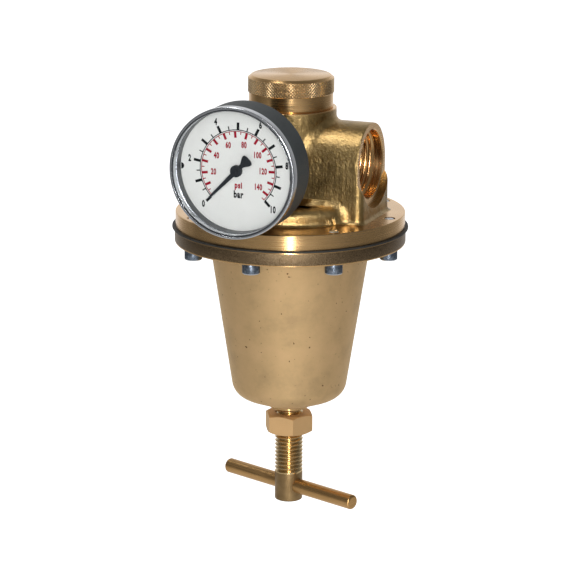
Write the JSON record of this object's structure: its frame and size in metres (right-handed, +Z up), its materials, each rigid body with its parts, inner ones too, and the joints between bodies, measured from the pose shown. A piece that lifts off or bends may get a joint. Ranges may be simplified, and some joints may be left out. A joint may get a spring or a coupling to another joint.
{
  "type": "air pressure regulator",
  "caption": "Brass diaphragm air pressure regulator with threaded pipe ports, dial gauge, knurled valve cap, spring bonnet and T-bar adjusting screw.",
  "frame": {"origin": "centre of the inlet port's mouth, on the machined face", "axes": "+X from the inlet to the outlet, +Z up along the main axis towards the valve cap, the gauge faces -Y"},
  "size_m": [0.1156, 0.1341, 0.2158],
  "materials": {
    "cast_brass": "cast and forged skin, bright",
    "blasted_brass": "fine blasted, satin",
    "turned_brass": "machined",
    "movement_brass": "stamped",
    "steel": "ground",
    "spring_steel": "drawn wire",
    "plated_steel": "zinc plated",
    "rubber": "moulded",
    "diaphragm_rubber": "fabric reinforced sheet",
    "case_plastic": "satin moulded",
    "clear_plastic": "clear moulded",
    "dial_white": "printed matt",
    "pointer_black": "satin",
    "copper_seal": "annealed copper"
  },
  "bodies": {
    "housing": {"body": "cast_brass", "bonnet": "blasted_brass", "cap_screws": "plated_steel", "diaphragm": "diaphragm_rubber", "valve_seat": "turned_brass", "stem_guide": "turned_brass", "valve_cap": "turned_brass", "cap_seal": "rubber", "main_spring": "spring_steel", "valve_spring": "spring_steel", "gauge_case": "case_plastic", "gauge_window": "clear_plastic", "gauge_dial": "dial_white", "bourdon_tube": "movement_brass", "gauge_socket": "turned_brass", "movement_plates": "movement_brass", "gauge_seal": "copper_seal", "rear_plug": "turned_brass", "rear_plug_seal": "copper_seal"},
    "valve_unit": {"upper_diaphragm_plate": "plated_steel", "lower_diaphragm_plate": "plated_steel", "diaphragm_hub": "turned_brass", "diaphragm_nut": "plated_steel", "valve_stem": "steel", "valve_poppet": "turned_brass", "valve_disc": "rubber"},
    "spring_seat": {"spring_seat": "plated_steel", "thrust_ball": "steel"},
    "adjusting_screw": {"adjusting_screw": "turned_brass", "cross_bar": "turned_brass"},
    "jam_nut": {"jam_nut": "turned_brass"},
    "sector": {"sector_gear": "movement_brass"},
    "link": {"sector_link": "movement_brass"},
    "pointer": {"gauge_pointer": "pointer_black", "pointer_shaft": "movement_brass"}
  },
  "joints": [
    {"name": "valve_lift", "type": "slide", "parent": "housing", "child": "valve_unit", "axis": [0, 0, 1], "range_m": [0, 0.002], "deforming": ["diaphragm", "valve_spring", "main_spring"]},
    {"name": "spring_seat_travel", "type": "slide", "parent": "housing", "child": "spring_seat", "axis": [0, 0, 1], "range_m": [-0.004, 0.012], "deforming": ["main_spring"]},
    {"name": "screw_turn", "type": "hinge", "parent": "spring_seat", "child": "adjusting_screw", "pos_m": [0.0417, 0, -0.1333], "axis": [0, 0, 1], "range_deg": [-720, 2160]},
    {"name": "jam_nut_travel", "type": "slide", "parent": "housing", "child": "jam_nut", "axis": [0, 0, 1], "range_m": [-0.006, 0.003]},
    {"name": "sector_turn", "type": "hinge", "parent": "housing", "child": "sector", "pos_m": [0.0417, -0.062, -0.0073], "axis": [0, 1, 0], "range_deg": [-45, 0]},
    {"name": "link_turn", "type": "hinge", "parent": "sector", "child": "link", "pos_m": [0.037, -0.0633, -0.00901], "axis": [0, 1, 0], "range_deg": [0, 45]},
    {"name": "pointer_turn", "type": "hinge", "parent": "housing", "child": "pointer", "pos_m": [0.0417, -0.0692, 0.0067], "axis": [0, 1, 0], "range_deg": [0, 270]}
  ],
  "couplings": [
    {"joint": "spring_seat_travel", "follows": "screw_turn", "m_per_rad": 0.00031831},
    {"joint": "pointer_turn", "follows": "sector_turn", "ratio": -6},
    {"joint": "link_turn", "follows": "sector_turn", "ratio": -1}
  ]
}
